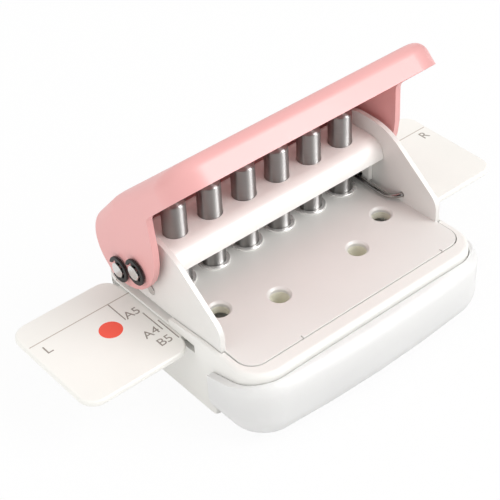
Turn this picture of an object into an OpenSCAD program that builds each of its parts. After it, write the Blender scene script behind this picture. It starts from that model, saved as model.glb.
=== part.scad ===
// Six-pin lever punch for loose-leaf sheets, millimetres, +Z up.
// X runs along the pin row, Y points away from the user, Z = 0 is the table.

/* [Punch row] */
// Distance between neighbouring punch pins
pin_pitch = 9.5; // [9.3:0.1:10.5]
// Diameter of a punch pin
pin_d = 5.5; // [5:0.1:6]
// Height of the pin tops above the deck
pin_rise = 21.5; // [20.5:0.1:21.6]
// Depth of the pin ends below the deck surface at rest
pin_sink = 0.1; // [0.05:0.05:0.4]
// Distance from the outer pins to the ears
row_margin = 6.85; // [6.6:0.05:9]

/* [Frame] */
// Height of the deck above the table
deck_h = 19.2; // [18.6:0.1:23]
// Thickness of the sheet metal
sheet_t = 1.2; // [1:0.1:1.3]
// Distance from the pin row to the front edge of the deck
deck_front = 32.3; // [30:0.1:33.5]
// Distance from the pin row to the back edge of the deck
deck_back = 17.9; // [17.4:0.1:18.1]
// Radius of the front corners of the deck
deck_corner_r = 4; // [2:0.5:8]
// Height of the ears above the deck
ear_h = 17.5; // [17.2:0.1:17.8]
// Distance from the pin row to the front of the ears
ear_front = 24.1; // [22:0.1:26]
// Distance from the pin row to the back of the ears
ear_back = 11.6; // [11:0.1:12]
// Diameter of the sight holes in the deck
sight_d = 4.4; // [3.6:0.1:5.6]
// Outer diameter of the collars round the pins
collar_d = 7.4; // [7:0.1:8]
// Height of the collars
collar_h = 0.4; // [0.2:0.1:0.6]

/* [Bridge] */
// Height of the bridge above the deck
bridge_h = 13.4; // [13:0.1:13.8]
// Distance from the pin row to the front face of the bridge
bridge_front = 7.2; // [6.8:0.1:9]
// Distance from the pin row to the back face of the bridge
bridge_back = 8.4; // [7.8:0.1:8.8]
// Height of the bridge flanges above the deck
flange_h = 8.7; // [8.5:0.1:9.5]

/* [Base] */
// Distance from the pin row to the front of the base
base_front = 36.2; // [34:0.1:40]
// Distance from the pin row to the back of the base
base_back = 18.2; // [18:0.1:24]
// Width of the rim beside the ears
rim_w = 1.1; // [1:0.1:1.3]
// Radius of the upright corners of the base
base_corner_r = 7; // [5:0.5:8]
// Radius of the top edge of the base
base_edge_r = 1.2; // [0.6:0.1:1.4]
// Thickness of the walls of the base
base_wall = 1.9; // [1.5:0.1:2.2]
// Thickness of the floor of the base
base_floor = 1.2; // [1:0.1:2]
// Depth of the base's rim below the surface of the deck
rim_drop = 0.2; // [0.1:0.05:0.5]
// Height of the paper slot under the deck
slot_h = 0.6; // [0.5:0.05:0.8]
// Thickness of the base above the paper guides
roof_t = 1.15; // [1.1:0.05:1.4]
// Thickness of the shelf under the paper guides
shelf_t = 1.5; // [1.2:0.1:2]
// Thickness of the die plate
die_t = 0.7; // [0.5:0.05:0.7]
// Width of the die plate across the row
die_w = 11; // [10:0.1:13]
// Distance from the pin row to the paper stop in front of it
stop_y = 7.6; // [6.8:0.1:8]

/* [Paper guides] */
// Thickness of a paper guide
guide_t = 1.6; // [1.2:0.1:2]
// Length of a guide that shows beside the base
guide_out = 26.7; // [22:0.1:30]
// Length of a guide that stays inside the base
guide_in = 6.4; // [5:0.1:7]
// Distance from the pin row to the front edge of a guide
guide_front = 15.9; // [14:0.1:18]
// Distance from the pin row to the back edge of a guide
guide_back = 14.4; // [13:0.1:14.6]
// Radius of the outer corners of a guide
guide_corner_r = 4; // [2:0.5:6]

/* [Lever] */
// Thickness of the lever's top
lever_t = 1.2; // [1:0.1:1.3]
// Thickness of the lever arms and the skirt
arm_t = 1.5; // [1.2:0.1:1.8]
// Gap between the ears and the lever arms
lever_gap = 0.5; // [0.5:0.05:1]
// Length of the lever from its pivot to the front
lever_len = 44.8; // [42:0.1:48]
// Widening of the lever from the pivot to the front, on each side
lever_flare = 2.35; // [1.2:0.05:2.6]
// Radius of the front corners of the lever, seen from above
nose_r = 8.3; // [6:0.1:10]
// Height of the front skirt of the lever
skirt_h = 6.65; // [5.5:0.05:8]
// Radius of the upper edge of the skirt
brow_r = 3; // [2.2:0.1:3.6]
// Radius of the long upper edges of the lever
lever_edge_r = 2.2; // [2:0.1:3]
// Radius of the back of the lever
tail_r = 9.5; // [8.6:0.1:10]
// Distance of the lever pivot behind the pin row
pivot_y = 7; // [6.8:0.1:7.4]
// Height of the lever pivot above the deck
pivot_z = 4.6; // [4.4:0.1:4.8]
// Height of the drive shaft above the deck
drive_z = 8.4; // [8.2:0.1:8.6]
// Diameter of the two shafts
shaft_d = 3.5; // [3:0.1:3.6]
// Length of a shaft beyond the lever arm
shaft_end = 1.1; // [1.1:0.05:2]
// Outer diameter of the retaining clips
clip_d = 6.2; // [5:0.1:6.6]
// Thickness of the retaining clips
clip_t = 0.6; // [0.4:0.1:0.8]

/* [Return spring] */
// Diameter of the spring wire
wire_d = 1.2; // [0.9:0.1:1.3]
// Mean radius of the spring coil
coil_r = 2.9; // [2.8:0.1:3.1]

/* [Chip tray] */
// Wall of the tray
tray_wall = 1.6; // [1:0.1:1.8]
// Bulge of the tray front
tray_bulge = 1.7; // [1:0.1:3]
// Distance from the pin row to the back of the tray's side wings
wing_y = 22.4; // [18:0.1:26]
// Depth of the tray front's upper edge below the deck
tray_top_drop = 2; // [1.9:0.1:4]
// Depth of the wings' back corner below the deck
wing_drop = 5.9; // [3:0.1:8]
// Radius of the lower edge of the tray front
tray_low_r = 7.2; // [3:0.1:7.6]
// Radius of the upper edge of the tray front
tray_top_r = 2.8; // [1.5:0.1:3]

/* [Hidden] */
$fn = 48;
eps = 0.01;
pin_count = 6;
run_fit = 0.08;
seat_fit = 0.02;
slide_gap = 0.3;
tray_gap = 0.3;
half_row = pin_pitch * (pin_count - 1) / 2;
pin_r = pin_d / 2;
pin_x = [for (i = [0 : pin_count - 1]) i * pin_pitch - half_row];

// heights of the stack, from the deck down
base_top = deck_h - sheet_t - slot_h;
rim_top = deck_h - rim_drop;
guide_gap = 0.25;
guide_top = base_top - roof_t - guide_gap;
guide_low = guide_top - guide_t;
shelf_top = guide_low - guide_gap;
bay_top = shelf_top - shelf_t;
pin_low = deck_h - pin_sink;
pin_stroke = pin_low - guide_top - slide_gap;

// widths from the ears outwards
ear_in = half_row + row_margin;
ear_out = ear_in + sheet_t;
base_hw = ear_out + rim_w;
lever_in = ear_out + lever_gap;
lever_out = lever_in + arm_t;
clip_gap = 0.2;
shaft_r = shaft_d / 2;
groove_r = shaft_r - 0.35;

// corner of a side outline: position in Y and Z above the deck, and its radius
slope_y = 7.95;
nose_z = 5.26;
ear_outline = [[ear_back, -sheet_t, 0], [ear_back, ear_h - 9, 3], [ear_back - 8.2, ear_h, 6],
    [-slope_y, ear_h, 15], [-ear_front, nose_z, 4.4], [-ear_front, -sheet_t, 0]];

// frame of the lever: u forward along its top from the pivot, n square to the top
lever_a = 47;
crown_n = 12.85;
crown_u = 14;
brow_n = 10.25;
lip_n = brow_n - skirt_h;
lip_rise = 0.067;
tail_u = -7.6;
tail_edge_r = max(arm_t, lever_t) + 0.1;
rump_n = 5.5;
crown_r = 4;
skim = 0.02;
function lever_at(u, n) = [pivot_y - u * cos(lever_a) + n * sin(lever_a),
    pivot_z + u * sin(lever_a) + n * cos(lever_a)];
function lever_u(y, z) = (pivot_y - y) * cos(lever_a) + (z - pivot_z) * sin(lever_a);
function lever_hw(u) = lever_out + lever_flare * u / (lever_len - nose_r);
function outside(u) = lever_hw(u + clip_d / 2);
heel = [11.2, -0.2];
heel_r = 2.5;
toe = [-7.7, 0.9];
toe_r = 17.5;
shin = [-7.7, 19];
shin_r = 40;
armpit = [-7.3, 27];
armpit_r = 2.5;
// half angle of a corner that counts as straight
straight_a = 89.5;

function unit(v) = v / norm(v);
function turn(v) = [-v[1], v[0]];
function fillet(a, p, b, r, n) =
    let (u = unit(a - p), v = unit(b - p), h = acos(max(-1, min(1, u * v))) / 2)
    r <= 0 || h > straight_a ? [p] :
    let (c = p + unit(u + v) * r / sin(h), s = p + u * r / tan(h) - c, e = p + v * r / tan(h) - c,
        a0 = atan2(s[1], s[0]), da = (atan2(e[1], e[0]) - a0 + 540) % 360 - 180)
    [for (i = [0 : n]) c + r * [cos(a0 + da * i / n), sin(a0 + da * i / n)]];
function xy(p) = [p[0], p[1]];
function rounded(c, n = 8) = [for (i = [0 : len(c) - 1])
    each fillet(xy(c[(i + len(c) - 1) % len(c)]), xy(c[i]), xy(c[(i + 1) % len(c)]), c[i][2], n)];
// point at distance d inside both lines a-p and p-b of a clockwise outline
function inset(a, p, b, d) =
    let (n1 = -turn(unit(p - a)), n2 = -turn(unit(b - p)))
    p + d * (n1 + n2) / (1 + n1 * n2);

// plate with outline in Y and Z, from x0 to x1, heights counted from the deck
module side_plate(pts, x0, x1) {
    translate([x0, 0, deck_h])
        rotate([90, 0, 90])
            linear_extrude(x1 - x0)
                polygon(pts);
}

// cylinder along X through a point given in Y and height above the deck
module x_rod(y, z, r, x0, x1) {
    translate([x0, y, deck_h + z])
        rotate([0, 90, 0])
            cylinder(r = r, h = x1 - x0);
}

// upright slot along X: width and height range above the deck
module x_slot(y, z0, z1, r, x0, x1) {
    x_rod(y, z0, r, x0, x1);
    x_rod(y, z1, r, x0, x1);
    translate([x0, y - r, deck_h + z0])
        cube([x1 - x0, 2 * r, z1 - z0]);
}

module mirrored() {
    children();
    mirror([1, 0, 0])
        children();
}

// flat outline with one radius at the front and one at the back corners
module plan(hw, front, back, rf, rb) {
    translate([-hw + rf, -front])
        square([2 * (hw - rf), rf + eps]);
    translate([-hw, -front + rf])
        square([2 * hw, front + back - rf - rb]);
    translate([-hw + rb, back - rb - eps])
        square([2 * (hw - rb), rb + eps]);
    for (s = [-1, 1]) {
        translate([s * (hw - rf), -front + rf])
            circle(rf);
        translate([s * (hw - rb), back - rb])
            circle(rb);
    }
}

// round post with rounded upper and lower edges, for the corners of hulls
module soft_post(r, z0, z1, r0, r1) {
    pts = concat([[0, z0]],
        fillet([0, z0], [r, z0], [r, z1], r0, 9),
        fillet([r, z0], [r, z1], [0, z1], r1, 8),
        [[0, z1]]);
    rotate_extrude($fn = 48)
        polygon(pts);
}

// upper form of the base, grown by g, with the round lower edge that the tray wraps
front_lift = 1.9;
front_low_r = 5.2;
module base_form(g, top) {
    c = base_corner_r;
    hull()
        for (x = [-1, 1], y = [c - base_front, base_back - c])
            translate([x * (base_hw - c), y, 0])
                soft_post(c + g, front_lift - g, top, min(front_low_r, c) + g, base_edge_r);
}

module base_body() {
    base_form(0, rim_top);
    // square foot behind the tray
    linear_extrude(front_lift + front_low_r + 1)
        plan(base_hw, wing_y - tray_gap, base_back, 1, base_corner_r);
}

bay_hw = base_hw - base_wall;
bay_back = base_back - 4.9;
chute_hw = half_row + pin_r + 1;
deck_hw = ear_in + 0.4;
deck_gap = 0.25;
ear_gap = 0.15;
rise_y = 20.5;
rise_low = 1.15;
rise_a = atan2(rise_low - rim_drop, rise_y - stop_y);
sight_pit = 3;
module base_shell() {
    color("WhiteSmoke")
        difference() {
            base_body();
            // bay of the chip tray, open at the front
            translate([-bay_hw, -base_front - 1, base_floor])
                cube([2 * bay_hw, base_front + 1 + bay_back, bay_top - base_floor]);
            // channel of the paper guides, open at both sides
            translate([-base_hw - 1, -guide_front - slide_gap, shelf_top])
                cube([2 * base_hw + 2, guide_front + guide_back + 2 * slide_gap,
                    guide_top + guide_gap - shelf_top]);
            // seat of the die plate
            translate([-ear_in + 0.4, -die_w / 2 - 0.1, base_top - die_t])
                cube([2 * ear_in - 0.8, die_w + 0.2, die_t + 1]);
            // fall holes and chute under the dies
            for (x = pin_x)
                translate([x, 0, guide_top])
                    cylinder(r = pin_r + 0.6, h = roof_t + 1);
            translate([-chute_hw, -pin_r - 1.2, bay_top - 1])
                cube([2 * chute_hw, 2 * pin_r + 2.4, shelf_t + 2]);
            // recess of the deck and its ears, open at the back
            translate([0, 0, base_top])
                linear_extrude(5)
                    plan(deck_hw + deck_gap, deck_front + deck_gap, base_back + 5, deck_corner_r + deck_gap, 1);
            translate([-ear_out - ear_gap, -ear_front - deck_gap, base_top])
                cube([2 * (ear_out + ear_gap), ear_front + deck_gap + base_back + 5, 5]);
            // side rims fall towards the back, where the paper slot is open
            translate([-base_hw - 1, -rise_y, rim_top])
                rotate([-rise_a, 0, 0])
                    cube([2 * base_hw + 2, rise_y - stop_y + 0.3, 5]);
            translate([-base_hw - 1, -stop_y, base_top])
                cube([2 * base_hw + 2, stop_y + base_back + 5, 5]);
            for (s = [-1, 1])
                translate([s > 0 ? ear_in : -base_hw - 1, -stop_y, base_top - 0.5])
                    cube([base_hw + 1 - ear_in, stop_y + ear_back, 1]);
            // pits below the sight holes
            for (p = sight, s = [-1, 1])
                translate([s * p[0], -p[1], base_top - sight_pit])
                    cylinder(d = sight_d, h = sight_pit + 1);
            screw_shanks(seat_fit);
            for (k = screw_x)
                translate([k * ear_in, screw_y, bay_top - 1])
                    cylinder(r = screw_head_r + 0.2, h = 1 + screw_sink);
        }
}

module die_plate() {
    color("Silver")
        translate([0, 0, base_top - die_t])
            difference() {
                translate([-ear_in + 0.5, -die_w / 2, 0])
                    cube([2 * ear_in - 1, die_w, die_t]);
                for (x = pin_x)
                    translate([x, 0, -1])
                        cylinder(r = pin_r + run_fit, h = die_t + 2);
            }
}

// strip between base and deck, in front of the pins, that stops the paper
sight = [[11.4, 18.8], [23.75, 13.6]];
stop_set = 3;
module paper_stop() {
    color("Gainsboro")
        difference() {
            translate([-ear_in + 0.5, -deck_front + stop_set, base_top])
                cube([2 * ear_in - 1, deck_front - stop_set - stop_y, slot_h]);
            for (p = sight, s = [-1, 1])
                translate([s * p[0], -p[1], base_top - 1])
                    cylinder(d = sight_d, h = slot_h + 2);
            screw_shanks(seat_fit);
        }
}

// screws from the bay of the tray up into the deck
screw_y = -27;
screw_r = 0.9;
screw_head_r = 1.5;
screw_sink = 1.2;
screw_skin = 0.3;
screw_x = [-0.72, 0, 0.72];
module screw_shanks(gap) {
    for (k = screw_x)
        translate([k * ear_in, screw_y, bay_top + screw_sink - eps])
            cylinder(r = screw_r + gap, h = deck_h - screw_skin + gap - bay_top - screw_sink + eps);
}

module frame_screws() {
    color("Silver") {
        screw_shanks(0);
        for (k = screw_x)
            translate([k * ear_in, screw_y, bay_top + screw_sink - 0.9])
                difference() {
                    cylinder(r = screw_head_r, h = 0.9);
                    translate([-2 * screw_head_r, -0.2, -0.6])
                        cube([4 * screw_head_r, 0.4, 1]);
                }
    }
}

rivet_y = -0.8;
rivet_z = 2.1;
rivet_r = 0.8;
rivet_head_r = 1.2;
rivet_head_t = 0.25;
tick_x = [-16.6, 24.3];
tick_w = 0.3;
tick_l = 0.9;
anchor = [-13.3, 1.8];
module frame_plate() {
    color("Linen")
        difference() {
            union() {
                translate([0, 0, deck_h - sheet_t])
                    linear_extrude(sheet_t)
                        plan(deck_hw, deck_front, deck_back, deck_corner_r, 1.5);
                mirrored()
                    side_plate(rounded(ear_outline), ear_in, ear_out);
                for (x = pin_x)
                    translate([x, 0, deck_h - eps])
                        rotate_extrude()
                            polygon(concat([[pin_r - 0.5, 0]],
                                [[collar_d / 2, 0]],
                                fillet([collar_d / 2, 0], [collar_d / 2, collar_h + eps],
                                    [0, collar_h + eps], 0.3, 4),
                                [[pin_r - 0.5, collar_h + eps]]));
            }
            for (x = pin_x)
                translate([x, 0, deck_h - 3])
                    cylinder(r = pin_r + run_fit, h = 6);
            for (p = sight, s = [-1, 1])
                translate([s * p[0], -p[1], 0]) {
                    translate([0, 0, deck_h - 3])
                        cylinder(d = sight_d, h = 4);
                    translate([0, 0, deck_h - 0.45])
                        cylinder(d1 = sight_d, d2 = sight_d + 1.2, h = 0.5);
                }
            x_rod(pivot_y, pivot_z, shaft_r + seat_fit, -ear_out - 1, ear_out + 1);
            mirrored()
                x_slot(0, drive_z - pin_stroke, drive_z, shaft_r + slide_gap, ear_in - 1, ear_out + 1);
            mirrored()
                x_rod(rivet_y, rivet_z, rivet_r + seat_fit, ear_in - 1, ear_out + 1);
            x_rod(anchor[0], anchor[1], wire_d / 2 + 0.15, ear_in - 1, ear_out + 1);
            screw_shanks(seat_fit);
            // small ticks in the front edge
            for (x = tick_x)
                translate([x - tick_w / 2, -deck_front - 1, deck_h - sheet_t - 1])
                    cube([tick_w, tick_l + 1, sheet_t + 2]);
        }
}

bend_r = min(4.2, bridge_h - flange_h - slide_gap);
back_bend_r = min(3, bridge_h - flange_h - 1 - slide_gap);
foot_gap = 0.05;
foot_in = ear_in - foot_gap - sheet_t;
foot_slot = 2 * sheet_t;
module pin_bridge() {
    y0 = -bridge_front;
    y1 = bridge_back;
    outer = [[y0, flange_h, 0], [y0, bridge_h, bend_r], [y1, bridge_h, back_bend_r], [y1, flange_h + 1, 0]];
    inner = [[y0 + sheet_t, flange_h - 1, 0], [y0 + sheet_t, bridge_h - sheet_t, bend_r - sheet_t],
        [y1 - sheet_t, bridge_h - sheet_t, back_bend_r - sheet_t], [y1 - sheet_t, flange_h - 1, 0]];
    foot_w = 3.7;
    color("White")
        difference() {
            union() {
                difference() {
                    side_plate(rounded(outer), -ear_in + foot_gap, ear_in - foot_gap);
                    side_plate(rounded(inner), -ear_in - 1, ear_in + 1);
                }
                mirrored()
                    translate([foot_in, -foot_w, deck_h + 1.2])
                        cube([sheet_t, 2 * foot_w, bridge_h - 1.7]);
            }
            for (x = pin_x)
                translate([x, 0, deck_h + flange_h])
                    cylinder(r = pin_r + run_fit, h = bridge_h);
            mirrored()
                x_slot(0, drive_z - pin_stroke, drive_z, shaft_r + slide_gap, foot_in - foot_slot, ear_in + 1);
            mirrored()
                x_rod(rivet_y, rivet_z, rivet_r + seat_fit, foot_in - foot_slot, ear_in + 1);
        }
}

module bridge_rivets() {
    color("Silver")
        mirrored() {
            x_rod(rivet_y, rivet_z, rivet_r, foot_in, ear_out + rivet_head_t);
            x_rod(rivet_y, rivet_z, rivet_head_r, ear_out, ear_out + rivet_head_t);
        }
}

module shaft(y, z) {
    x1 = outside(lever_u(y, z)) + shaft_end;
    g0 = outside(lever_u(y, z)) + clip_gap - 0.05;
    g1 = g0 + clip_t + 0.1;
    color("Silver")
        difference() {
            x_rod(y, z, shaft_r, -x1, x1);
            mirrored()
                difference() {
                    x_rod(y, z, shaft_r + 1, g0, g1);
                    x_rod(y, z, groove_r, g0 - 1, g1 + 1);
                }
        }
}

// open ring with three inner tongues, mouth towards the back
module clip_shape() {
    difference() {
        circle(d = clip_d);
        circle(r = shaft_r + 0.45);
        translate([0, -shaft_r * 0.8])
            square([clip_d, shaft_r * 1.6]);
    }
    for (a = [100, 180, 260])
        rotate(a)
            translate([groove_r + seat_fit, -0.55])
                square([clip_d / 2 - 0.3 - groove_r, 1.1]);
}

module clips(y, z, a) {
    color("DimGray")
        mirrored()
            translate([outside(lever_u(y, z)) + clip_gap, y, deck_h + z])
                rotate([90, 0, 90])
                    linear_extrude(clip_t)
                        rotate(a)
                            clip_shape();
}

module pivot_shaft() {
    shaft(pivot_y, pivot_z);
}

module pivot_clips() {
    clips(pivot_y, pivot_z, -20);
}

module drive_shaft() {
    shaft(0, drive_z);
}

module drive_clips() {
    clips(0, drive_z, -20);
}

// wire of the return spring: leg under the drive shaft, coil on the pivot, leg along the ear
leg_a = 14;
coil_turns = 4;
coil_x0 = half_row - pin_pitch / 2;
coil_x1 = foot_in - 0.1 - wire_d / 2;
phi0 = 90 + leg_a;
phi1 = -90 - 360 * coil_turns;
coil_n = ceil((phi0 - phi1) / 45);
function coil_pt(t) = let (a = phi0 + (phi1 - phi0) * t)
    [coil_x0 + (coil_x1 - coil_x0) * t, pivot_y + coil_r * cos(a), pivot_z + coil_r * sin(a)];
lead = coil_pt(0);
leg_len = lead[1] + 2.6;
wire_lay = 0.35 + wire_d / 2;
coil_path = [for (i = [0 : coil_n]) coil_pt(i / coil_n)];
wire_path = concat(
    [lead - leg_len * [0, 1, tan(leg_a)], lead - 0.5 * leg_len * [0, 1, tan(leg_a)]],
    coil_path,
    [[coil_x1, 2, pivot_z - coil_r - 0.2], [coil_x1, -5, wire_lay + 0.1], [coil_x1, -9, wire_lay],
     [coil_x1 + 0.2, -10.6, wire_lay + 0.1], [coil_x1 + 0.7, -12, wire_lay + 0.4],
     [coil_x1 + 1.4, -13, anchor[1] - 0.1], [ear_in - 0.1, anchor[0], anchor[1]],
     [ear_out - 0.2, anchor[0], anchor[1]]]);
function tangent(p, i) = unit(p[min(i + 1, len(p) - 1)] - p[max(i - 1, 0)]);
function side_of(t) = unit(cross(abs(t[0]) > 0.8 ? [0, 1, 0] : [1, 0, 0], t));
// first side vector carried along the wire so that the rings do not turn
function carried(p, n, i, v) = i >= n ? v :
    let (t = tangent(p, i + 1)) carried(p, n, i + 1, unit(v - (v * t) * t));
function ring(p, i, r, k) =
    let (t = tangent(p, i), s = carried(p, i, 0, side_of(tangent(p, 0))), w = cross(t, s))
    [for (j = [0 : k - 1]) p[i] + r * (cos(360 * j / k) * s + sin(360 * j / k) * w)];
module tube(p, r, k) {
    n = len(p);
    pts = [for (i = [0 : n - 1]) each ring(p, i, r, k)];
    walls = [for (i = [0 : n - 2], j = [0 : k - 1]) each
        [[i * k + j, (i + 1) * k + j, i * k + (j + 1) % k],
         [i * k + (j + 1) % k, (i + 1) * k + j, (i + 1) * k + (j + 1) % k]]];
    caps = [for (j = [1 : k - 2]) each
        [[0, j, j + 1], [(n - 1) * k, (n - 1) * k + j + 1, (n - 1) * k + j]]];
    polyhedron(points = pts, faces = concat(walls, caps), convexity = 8);
}
coil_gap = min([for (i = [0 : coil_n - 6], j = [i + 6 : coil_n]) norm(coil_path[i] - coil_path[j])]) - wire_d;
echo(spring_least_gap = coil_gap);
module return_spring() {
    color("Silver")
        translate([0, 0, deck_h])
            tube(wire_path, wire_d / 2, 6);
}

// lever's own frame: Y towards the back along its top, Z square to the top
module on_lever() {
    translate([0, pivot_y, deck_h + pivot_z])
        rotate([-lever_a, 0, 0])
            children();
}

// outer form of the lever, or with walls t and w the hollow inside it
module lever_form(t, w) {
    deep = 45;
    nose_u = lever_len - nose_r;
    edge = lever_edge_r;
    tail_n = crown_n - tail_r;
    on_lever()
        hull() {
            mirrored() {
                translate([lever_hw(nose_u) - nose_r, -nose_u, 0])
                    soft_post(nose_r - w, -deep, brow_n - t, 0, brow_r - t);
                translate([lever_hw(crown_u) - crown_r, -crown_u, 0])
                    soft_post(crown_r - w, -deep, crown_n - t, 0, edge - t);
                translate([lever_hw(tail_u) - tail_edge_r, -tail_u - tail_edge_r, 0])
                    soft_post(tail_edge_r - w, -deep, tail_n, 0, 0);
            }
            translate([0, -tail_u - tail_r, tail_n])
                rotate([0, 90, 0])
                    soft_post(tail_r - t, w - lever_hw(tail_u), lever_hw(tail_u) - w,
                        tail_edge_r - t, tail_edge_r - t);
        }
}

// side view of the lever below its top: lip, armpit, arm and heel
module lever_side(hw) {
    far = 30;
    lip = lever_at(lever_len + far, lip_n - lip_rise * far);
    peak = lever_at(lever_len + far, crown_n + far);
    nape = lever_at(tail_u - far, crown_n + far);
    back = lever_at(tail_u - far, rump_n);
    rump = lever_at(tail_u - skim, rump_n);
    side_plate(rounded([[lip[0], lip[1], 0], [peak[0], peak[1], 0], [nape[0], nape[1], 0], [back[0], back[1], 0],
        [rump[0], rump[1], 0], [heel[0], heel[1], heel_r], [toe[0], toe[1], toe_r], [shin[0], shin[1], shin_r],
        [armpit[0], armpit[1], armpit_r]]), -hw, hw);
}

lever_turn = 21;
back_open = 1.8;
module lever_shell() {
    arm = [-pivot_y, drive_z - pivot_z];
    low = arm - [0, pin_stroke];
    far = [low[0] * cos(lever_turn) + low[1] * sin(lever_turn),
        -low[0] * sin(lever_turn) + low[1] * cos(lever_turn)];
    slot_r = shaft_r + slide_gap;
    way = unit(far - arm);
    p = [0, drive_z] - slot_r * way;
    q = [0, drive_z] + (norm(far - arm) + slot_r) * way;
    w = slot_r * turn(way);
    bend = 0.99 * slot_r;
    slot = [for (c = [p - w, q - w, q + w, p + w]) [c[0], c[1], bend]];
    color("LightPink")
        difference() {
            difference() {
                intersection() {
                    lever_form(0, 0);
                    lever_side(lever_out + lever_flare + 5);
                }
                lever_form(lever_t, arm_t);
                // opening between the arms at the back
                translate([-ear_out - lever_gap / 2, pivot_y - 2, deck_h - 10])
                    cube([2 * ear_out + lever_gap, 30, 10 + back_open]);
            }
            x_rod(pivot_y, pivot_z, shaft_r + run_fit, -lever_out - 5, lever_out + 5);
            // short slots that let the drive shaft shift along the arms
            side_plate(rounded(slot), -lever_out - 5, lever_out + 5);
        }
}

module punch_pin(x) {
    len = deck_h + pin_rise - pin_low;
    color("LightGray")
        difference() {
            translate([x, 0, pin_low])
                rotate_extrude()
                    polygon([[0, 0.5], [pin_r - 0.7, 0], [pin_r, 0], [pin_r, len - 0.6], [pin_r - 0.6, len], [0, len]]);
            x_rod(0, drive_z, shaft_r + seat_fit, x - pin_d, x + pin_d);
        }
}

module punch_pin_1() {
    punch_pin(pin_x[0]);
}

module punch_pin_2() {
    punch_pin(pin_x[1]);
}

module punch_pin_3() {
    punch_pin(pin_x[2]);
}

module punch_pin_4() {
    punch_pin(pin_x[3]);
}

module punch_pin_5() {
    punch_pin(pin_x[4]);
}

module punch_pin_6() {
    punch_pin(pin_x[5]);
}

// plate of the right side, drawn out
module guide() {
    r = guide_corner_r;
    x0 = base_hw - guide_in;
    x1 = base_hw + guide_out;
    y0 = -guide_front + r;
    y1 = guide_back - r;
    difference() {
        union() {
            hull()
                for (x = [base_hw + r, x1 - r], y = [y0, y1])
                    translate([x, y, 0])
                        soft_post(r, guide_low, guide_top, 0.6, 0.6);
            // narrower tongue that stays in the base
            translate([x0, y0, guide_low + skim])
                cube([guide_in + r, y1 - y0, guide_t - 2 * skim]);
        }
        translate([x0 - 1, -pin_r - 1.2, guide_low - 1])
            cube([2.5, 2 * pin_r + 2.4, guide_t + 2]);
    }
}

module left_guide() {
    color("Ivory")
        mirror([1, 0, 0])
            guide();
}

module right_guide() {
    color("Ivory")
        guide();
}

tray_in = base_hw + tray_gap;
tray_hw = tray_in + tray_wall;
tray_front = base_front + tray_gap + tray_wall + tray_bulge;
tray_low = 0.3;
tray_top = deck_h - tray_top_drop;
tray_r = 9.5;
tray_bow = 1.1;
drawer_hw = bay_hw - 0.5;
drawer_back = bay_back - 0.8;
drawer_low = base_floor + 0.4;
drawer_top = bay_top - 0.8;
drawer_front = base_front + tray_gap + 0.1;
drawer_r = base_corner_r + 1;
module tray_front_body() {
    difference() {
        hull() {
            for (s = [-1, -0.5, 0, 0.5, 1])
                translate([s * (tray_hw - tray_r), -tray_front + tray_r + tray_bow * s * s, 0])
                    soft_post(tray_r, tray_low, tray_top, tray_low_r, tray_top_r);
            translate([0, -wing_y, 0])
                rotate([90, 0, 0])
                    linear_extrude(1)
                        polygon(rounded([[-tray_hw, tray_low, tray_low_r], [tray_hw, tray_low, tray_low_r],
                            [tray_hw, tray_top, 0], [-tray_hw, tray_top, 0]]));
        }
        // hollow that takes the front of the base
        base_form(tray_gap, deck_h + 2);
        // straight back end of the wings
        translate([-tray_hw - 1, -wing_y - skim, -1])
            cube([2 * tray_hw + 2, 40, deck_h + 2]);
        // upper edge falling towards the back
        translate([0, -base_front, tray_top])
            rotate([-atan2(wing_drop - tray_top_drop, base_front - wing_y), 0, 0])
                translate([-tray_hw - 1, 0, 0])
                    cube([2 * tray_hw + 2, 40, 10]);
    }
}

// slanted cut under the front of the drawer, clear of the round lower edge
module drawer_slant(lift) {
    translate([0, -drawer_front, drawer_low + 3 + lift])
        rotate([-45, 0, 0])
            translate([-drawer_hw - 1, -20, -20])
                cube([2 * drawer_hw + 2, 40, 20]);
}

module chip_tray() {
    color("GhostWhite", 0.7)
        difference() {
            union() {
                tray_front_body();
                difference() {
                    translate([0, 0, drawer_low])
                        linear_extrude(drawer_top - drawer_low)
                            plan(drawer_hw, drawer_front, drawer_back, drawer_r, 2);
                    drawer_slant(0);
                }
            }
            difference() {
                translate([0, 0, drawer_low + tray_wall])
                    linear_extrude(drawer_top - drawer_low)
                        plan(drawer_hw - tray_wall, drawer_front + tray_bulge - 0.6, drawer_back - tray_wall,
                            drawer_r + 1, 1);
                drawer_slant(1.5 * tray_wall);
            }
        }
}

base_shell();
die_plate();
paper_stop();
frame_plate();
frame_screws();
pin_bridge();
bridge_rivets();
pivot_shaft();
pivot_clips();
return_spring();
lever_shell();
drive_shaft();
drive_clips();
punch_pin_1();
punch_pin_2();
punch_pin_3();
punch_pin_4();
punch_pin_5();
punch_pin_6();
left_guide();
right_guide();
chip_tray();
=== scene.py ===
"""Looks of a six-pin lever punch for loose-leaf sheets, dressed round its CAD frame."""
from functools import wraps
from itertools import accumulate
from math import radians

import bmesh
import bpy
import numpy as np
from mathutils import Matrix, Vector


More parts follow.
